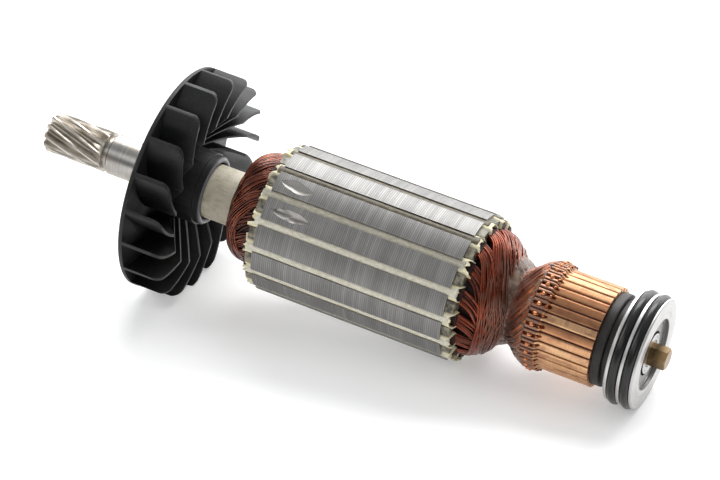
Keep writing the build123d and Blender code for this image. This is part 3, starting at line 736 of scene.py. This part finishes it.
def make_rear_winding():
    """Wind the commutator end: coils out of the slots, broad last ones over them, and resin at the waist."""
    coil = {
        "Start": stack_end + 1.0 * MM, "Length": EAR_LENGTH + REAR_LENGTH - 1.5 * MM,
        "Inner Radius": WAIST_RADIUS - 0.4 * MM, "Outer Radius": REAR_RADIUS,
        "Wires": 9, "Spacing": 0.66 * MM, "Wobble": 1.2 * MM, "Seed": 11,
        "Reach": 0.88, "Reach Step": 0.05, "Reach Jitter": 0.08,
    }
    grow("rear_winding_wires", rear_tree, coil, varnished)
    last = {
        **coil, "Bundles": 2, "First Angle": SLOT_PHASE + 3 * SLOT_PITCH, "Seed": 23,
        "Wires": 11, "Wire Radius": 0.37 * MM, "Spacing": 0.57 * MM, "Lift": 0.8 * MM, "Sink": 1.0 * MM,
        "Reach": 0.72, "Reach Step": 0.042, "Reach Jitter": 0.025,
    }
    grow("rear_winding_last_coils", rear_tree, last, varnished)

    # The core runs from the stack half way to the waist, and the resin from there up to the risers.
    ear = stack_end + 2 * MM
    crest = []
    for i in range(15):
        part = i / 14
        full = WAIST_RADIUS + (REAR_RADIUS - WAIST_RADIUS) * (1 - part**1.45)
        crest.append((ear + (waist - ear) * part, full - CORE_DEPTH * (1 - part**1.6) - 0.05 * MM))
    halfway = crest[7][0]
    outline = crest[:8] + [(halfway, REAR_TUBE_RADIUS), (ear, REAR_TUBE_RADIUS)]
    turned_core = turned_body("rear_winding_core", outline, core, lumps=0.5 * MM, sweep=REAR_SWEEP)
    settle(turned_core)
    outline = crest[7:]
    climb = riser_radius - 0.62 * MM - WAIST_RADIUS
    for i in range(1, 9):
        part = i / 8
        ease = part * part * (3 - 2 * part)
        outline.append((waist + (riser_start - waist) * part, WAIST_RADIUS + climb * ease))
    outline += [(riser_start, REAR_TUBE_RADIUS), (halfway, REAR_TUBE_RADIUS)]
    body = turned_body("winding_resin", outline, resin, lumps=0.75 * MM, sweep=REAR_SWEEP)
    settle(body, ["end_turns_commutator"])


def make_leads():
    """Lay the leads from the waist up to the risers, three wires to each commutator bar."""
    sweep = radians(46)
    lead = {
        "Bundles": BARS, "Wires": 3, "Layers": 1, "Points": 24, "Seed": 5,
        "First Angle": BAR_PHASE + sweep, "Bundle Angle": BAR_PITCH, "Twist": -sweep,
        "Start": waist - 1.4 * MM, "Length": riser_start - waist + 1.7 * MM,
        "Inner Radius": WAIST_RADIUS - 0.25 * MM, "Outer Radius": riser_radius - 0.75 * MM,
        "Spacing": 0.85 * MM, "Wobble": 0.45 * MM, "Sink": 0.0,
        "Fan Out": 0.0, "Reach Step": 0.0, "Reach Jitter": 0.0,
    }
    grow("commutator_lead_wires", lead_tree, lead, varnished, ["commutator_leads"])


def around_tree(sizes):
    """Build a tree that repeats one item evenly round the shaft, with each copy a little uneven."""
    tree, given = start_tree("repeated_round_the_shaft", sizes)
    line = add(tree, "GeometryNodeMeshLine", None, {"Count": given["Count"], "Offset": (0, 0, 0)})
    index = add(tree, "GeometryNodeInputIndex")
    pitch = add(tree, MATH, "DIVIDE", (tau, given["Count"]))
    angle = add(tree, MATH, "MULTIPLY_ADD", (index, pitch, given["First Angle"]))
    chance = add(tree, RANDOM, None, {2: -1.0, 3: 1.0, "ID": index, "Seed": given["Seed"]})
    turn = add(tree, MATH, "MULTIPLY_ADD", (chance, given["Turn Jitter"], angle))
    rotation = add(tree, JOIN, None, (turn, 0.0, 0.0))
    copied = {"Points": line, "Instance": given["Geometry"], "Rotation": rotation}
    copies = add(tree, "GeometryNodeInstanceOnPoints", None, copied)
    real = add(tree, "GeometryNodeRealizeInstances", None, (copies,))
    fine = add(tree, MATH, "DIVIDE", (1.0, given["Grain"]))
    moved = drift(tree, add(tree, "GeometryNodeInputPosition"), fine, given["Unevenness"])
    end_tree(tree, given, add(tree, "GeometryNodeSetPosition", None, {"Geometry": real, "Offset": moved}))
    return tree


def make_beads():
    """Fuse a wire into each riser, with its round bead and the burnt drop in front of it."""
    work = bmesh.new()
    middle = riser_start + RISER_LENGTH * 0.42
    front = riser_start + RISER_LENGTH - 0.9 * MM
    # Each lump's station, and its depth below the riser's top and radii in mm
    lumps = (
        (middle, 0.1, (0.85, 0.8, 0.78)),
        (middle, 0.62, (1.35, 0.75, 1.05)),
        (front, 0.55, (0.75, 0.55, 0.7)),
        (front - 0.9 * MM, 0.8, (0.7, 0.5, 0.55)),
    )
    for station, depth, radii in lumps:
        place = Matrix.LocRotScale((station, riser_radius - depth * MM, 0), None, Vector(radii) * MM)
        bmesh.ops.create_uvsphere(work, u_segments=14, v_segments=9, radius=1, matrix=place)
    lying = Matrix.Rotation(pi / 2, 3, "Y")
    place = Matrix.LocRotScale((riser_start + 2.9 * MM, riser_radius - 1.1 * MM, 0), lying, None)
    wire = {"radius1": 0.6 * MM, "radius2": 0.6 * MM, "depth": 5.6 * MM}
    bmesh.ops.create_cone(work, cap_ends=True, segments=10, matrix=place, **wire)
    mesh = bpy.data.meshes.new("fused_beads")
    work.to_mesh(mesh)
    work.free()
    sizes = {
        "Count": BARS, "First Angle": BAR_PHASE, "Seed": 7,
        "Turn Jitter": radians(0.7), "Grain": 0.9 * MM, "Unevenness": 0.55 * MM,
    }
    grow("fused_beads", around_tree(sizes), sizes, fused, ["fused_wire_ends"], mesh)


def tear(rng, steps):
    """Draw how far a torn edge reaches at each step along it, as a share of the whole ear."""
    spans = ((0.85, 1.1), (0.35, 0.65), (0.7, 1.0), (0.3, 0.7), (0.65, 1.0), (0.85, 1.1))
    torn = [rng.uniform(*span) for span in spans]
    tips = []
    for i in range(steps + 1):
        spot = (len(torn) - 1) * i / steps
        k = min(int(spot), len(torn) - 2)
        tips.append(torn[k] + (spot - k) * (torn[k + 1] - torn[k]) + rng.uniform(-0.07, 0.07))
    return tips


def paper_faces(first, across, out):
    """Join a paper's two layers of points, rows across and columns outwards, into one closed sheet."""
    faces = []
    row = out + 1
    sheet = (across + 1) * row
    for layer in (0, 1):
        for i in range(across):
            for j in range(out):
                a = first + layer * sheet + i * row + j
                faces.append((a, a + 1, a + row + 1, a + row))
    rim = [i * row + out for i in range(across + 1)]
    rim += [across * row + j for j in range(out - 1, -1, -1)]
    rim += [i * row for i in range(across - 1, -1, -1)]
    rim += list(range(1, out))
    for a, b in zip(rim, rim[1:] + rim[:1]):
        faces.append((first + a, first + b, first + sheet + b, first + sheet + a))
    return faces


def make_papers():
    """Fold the slot papers, whose torn ends stand out of the stack as ears round each slot."""
    rng = random.Random(4)
    vertices, faces = [], []
    across, out = 14, 5
    # Half a slot's width between teeth with parallel sides, less a little room
    half = EAR_RADIUS * tan(SLOT_PITCH / 2) - TOOTH_WIDTH / 2 - 0.1 * MM
    for side, start in ((-1, stack_start), (1, stack_end)):
        for slot in range(SLOTS):
            tips = tear(rng, across)
            flare = rng.uniform(-0.4, 0.5) * MM
            faces += paper_faces(len(vertices), across, out)
            for layer in (0, PAPER_THICKNESS):
                for i, tip in enumerate(tips):
                    # The outer fifth of each half of the paper is folded down.
                    share = 2 * i / across - 1
                    fold = max(0.0, abs(share) - 0.8) / 0.2
                    wide = copysign(0.8 + 0.2 * min(1, fold * 2), share) if fold else share
                    for j in range(out + 1):
                        part = j / out
                        radius = EAR_RADIUS - 3.4 * MM * fold**1.5 - 0.25 * MM * share**2
                        radius += flare * part**2 - layer
                        angle = SLOT_PHASE + slot * SLOT_PITCH + (half - layer) * wide / radius
                        station = start + side * (EAR_LENGTH * part * tip - 0.6 * MM * (1 - part))
                        ripple = 0.12 * MM * sin(5 * share + slot) * part
                        vertices.append(polar(station, radius + ripple, angle))
    papers = make_piece("slot_papers", vertices, faces, paper)
    settle(papers, ["slot_liners"])


def make_strips():
    """Push a crowned closing strip through each slot mouth, its ends standing out over the papers."""
    rng = random.Random(9)
    vertices, faces = [], []
    crown = stack_radius - 0.25 * MM
    # The strip's section, in halves of its width across and mm upwards
    section = ((-1, -1.5), (-1, -0.35), (-0.72, -0.08), (0, 0), (0.72, -0.08), (1, -0.35), (1, -1.5))
    count = len(section)
    for slot in range(SLOTS):
        low_end = stack_start - rng.uniform(1.6, 2.9) * MM
        high_end = stack_end + rng.uniform(1.8, 3.2) * MM
        skew = rng.uniform(-0.25, 0.25) * MM
        stations = [low_end, low_end + 0.35 * MM, stack_start + 0.2 * MM]
        stations += [stack_start + (stack_end - stack_start) * i / 8 for i in range(1, 8)]
        stations += [stack_end - 0.2 * MM, high_end - 0.35 * MM, high_end]
        first = len(vertices)
        for station in stations:
            tip = 0.8 if station in (low_end, high_end) else 1.0
            free = station < stack_start or station > stack_end
            half = (SLOT_MOUTH / 2 + (0.45 * MM if free else -0.02 * MM)) * tip
            bow = rng.uniform(-0.06, 0.06) * MM - (0.35 * MM if tip < 1 else 0)
            for across, up in section:
                radius = crown + bow + up * MM * tip
                aside = across * half + (skew if free else 0)
                vertices.append(polar(station, radius, SLOT_PHASE + slot * SLOT_PITCH + aside / radius))
        for a in range(first, len(vertices) - count, count):
            for j in range(count):
                k = (j + 1) % count
                faces.append((a + j, a + k, a + k + count, a + j + count))
        faces.append(tuple(range(first, first + count)))
        faces.append(tuple(reversed(range(len(vertices) - count, len(vertices)))))
    strips = make_piece("closing_strips", vertices, faces, strip)
    settle(strips, ["slot_wedges"])


def copy_solid(node):
    """Copy a solid's surface into a working mesh, with its loose triangles merged."""
    work = bmesh.new()
    work.from_mesh(nodes[node].data)
    bmesh.ops.remove_doubles(work, verts=work.verts, dist=0.001 * MM)
    return work


def show_copy(name, work):
    """Put a working copy of a solid into the scene, without the solid's own normals."""
    mesh = bpy.data.meshes.new(name)
    work.to_mesh(mesh)
    work.free()
    normals = mesh.attributes.get("custom_normal")
    if normals:
        mesh.attributes.remove(normals)
    return show(name, mesh)


def make_stack():
    """Even out the second balance pocket, so that its two cuts leave one pointed lens."""
    work = copy_solid("lamination_stack")
    # The pocket lies on the tooth between the sixth and seventh slots.
    tooth = SLOT_PHASE + 5.5 * SLOT_PITCH
    middle, half, width = stack_start + 10.25 * MM, 7.55 * MM, 2.1 * MM
    for vertex in work.verts:
        station, y, z = vertex.co
        reach = hypot(y, z)
        aside = (atan2(z, y) - tooth) * reach
        part = (station - middle) / half
        if abs(part) < 0.98 and abs(aside) < 3 * MM and reach > stack_radius - 0.02 * MM:
            vertex.co = polar(station, reach, tooth + copysign(width * (1 - part**2), aside) / reach)
    piece = show_copy("lamination_stack_turned", work)
    dress(piece.data, 20, laminations)
    settle(piece, ["lamination_stack"])


def soften(name, node, width, material, segments=2, body="rotor"):
    """Copy a solid's surface, break its edges with small rounds and let the copy stand for the solid."""
    work = copy_solid(node)
    bmesh.ops.dissolve_limit(work, angle_limit=radians(1.0), verts=work.verts, edges=work.edges)
    piece = show_copy(name, work)
    rounds = piece.modifiers.new("rounds", "BEVEL")
    rounds.width = width
    rounds.segments = segments
    rounds.limit_method = "ANGLE"
    rounds.angle_limit = radians(30)
    rounds.miter_outer = "MITER_ARC"
    make_plain(piece)
    dress(piece.data, 50, material)
    settle(piece, [node], body)


soften("cooling_fan_moulding", "cooling_fan", 0.3 * MM, nylon)
soften("commutator_moulding_turned", "commutator_moulding", 0.5 * MM, phenolic, 3)
soften("commutator_bars_turned", "commutator_bars", 0.1 * MM, copper, 1)
soften("bearing_sleeve_turned", "bearing_sleeve", 0.12 * MM, aluminium, body="sleeve")
make_stack()
make_seal_rings()
make_drive_winding()
make_rear_winding()
make_leads()
make_beads()
make_papers()
make_strips()

# The armature lies on the rims of its fan and sleeve, so the floor is tilted in its frame.
FLOOR_TILT = radians(6.4478)
FLOOR_GAP = 0.3 * MM
FAN_RIM_START = 0.85 * MM
FLOOR_SIDE = 12.0
floor_normal = Vector((-sin(FLOOR_TILT), 0, cos(FLOOR_TILT)))

# The camera's place and aim, its turn about the line of sight, and the length of its lens in mm
CAMERA_PLACE = Vector((460.2, -1024.0, 759.2)) * MM
CAMERA_AIM = Vector((75.67, -3.67, 4.89)) * MM
CAMERA_ROLL = radians(1.1475)
CAMERA_LENS = 189.35

# Each lamp's name, place, aim, width and height, and power in watts
LAMPS = (
    ("overhead_softbox", (-0.15, 0.95, 1.2), (0.09, 0, 0), (1.5, 0.8), 27),
    ("back_softbox", (0.0, 1.6, 0.45), (0.07, 0, 0), (2.4, 0.7), 14),
    ("front_fill", (-0.3, -1.5, 1.15), (0.08, 0, 0), (2.2, 0.8), 7),
    ("left_softbox", (-1.2, -0.35, 0.6), (0.05, 0, 0), (0.5, 0.9), 5),
)


def make_floor():
    """Lay a large pale sheet under the armature, lit a little so that its shadows are faint."""
    lowest = Vector((fan_low.x + FAN_RIM_START, 0, -fan_high.z)) - floor_normal * FLOOR_GAP
    side = floor_normal.cross(Vector((1, 0, 0))).normalized() * FLOOR_SIDE / 2
    ahead = side.cross(floor_normal)
    corners = [lowest + side * a + ahead * b for a, b in ((-1, -1), (1, -1), (1, 1), (-1, 1))]
    mesh = bpy.data.meshes.new("studio_floor")
    mesh.from_pydata(corners, [], [(0, 3, 2, 1)])
    glow = {"Emission Color": "#ffffff", "Emission Strength": 0.26}
    finish = {"Base Color": "#f2f2f2", "Roughness": 0.9, **glow}
    mesh.materials.append(start_material("paper_backdrop", finish)[0])
    show("studio_floor", mesh)


def make_camera():
    """Stand the camera where the photograph was taken from."""
    data = bpy.data.cameras.new("camera")
    data.lens = CAMERA_LENS
    data.sensor_width = 36
    data.clip_end = 20
    camera = show("camera", data)
    back = (CAMERA_PLACE - CAMERA_AIM).normalized()
    right = floor_normal.cross(back).normalized()
    turn = Matrix.Rotation(CAMERA_ROLL, 3, back)
    axes = Matrix((turn @ right, turn @ back.cross(right), back)).transposed()
    camera.matrix_world = Matrix.Translation(CAMERA_PLACE) @ axes.to_4x4()
    bpy.context.scene.camera = camera


def hang_lamps():
    """Hang the soft lamps, each aimed at its point."""
    for name, place, aim, size, power in LAMPS:
        data = bpy.data.lights.new(name, "AREA")
        data.shape = "RECTANGLE"
        data.size, data.size_y = size
        data.energy = power
        lamp = show(name, data)
        lamp.location = place
        lamp.rotation_euler = (Vector(aim) - Vector(place)).to_track_quat("-Z", "Y").to_euler()


def make_studio():
    """Surround the object with a studio that is bright overhead and darker at eye level."""
    world = bpy.data.worlds.new("studio")
    world.use_nodes = True
    tree = world.node_tree
    towards = (add(tree, "ShaderNodeTexCoord").outputs["Generated"], (0.0, 0.75, 0.66))
    rise = add(tree, VECTOR, "DOT_PRODUCT", towards).outputs["Value"]
    level = add(tree, RANGE, SMOOTH, (rise, -0.2, 0.9, 0.26, 0.78))
    fill(tree, tree.nodes["Background"], {"Color": "#f0f1f3", "Strength": level})
    bpy.context.scene.world = world
    bpy.context.scene.view_settings.view_transform = "Standard"


make_floor()
make_camera()
hang_lamps()
make_studio()
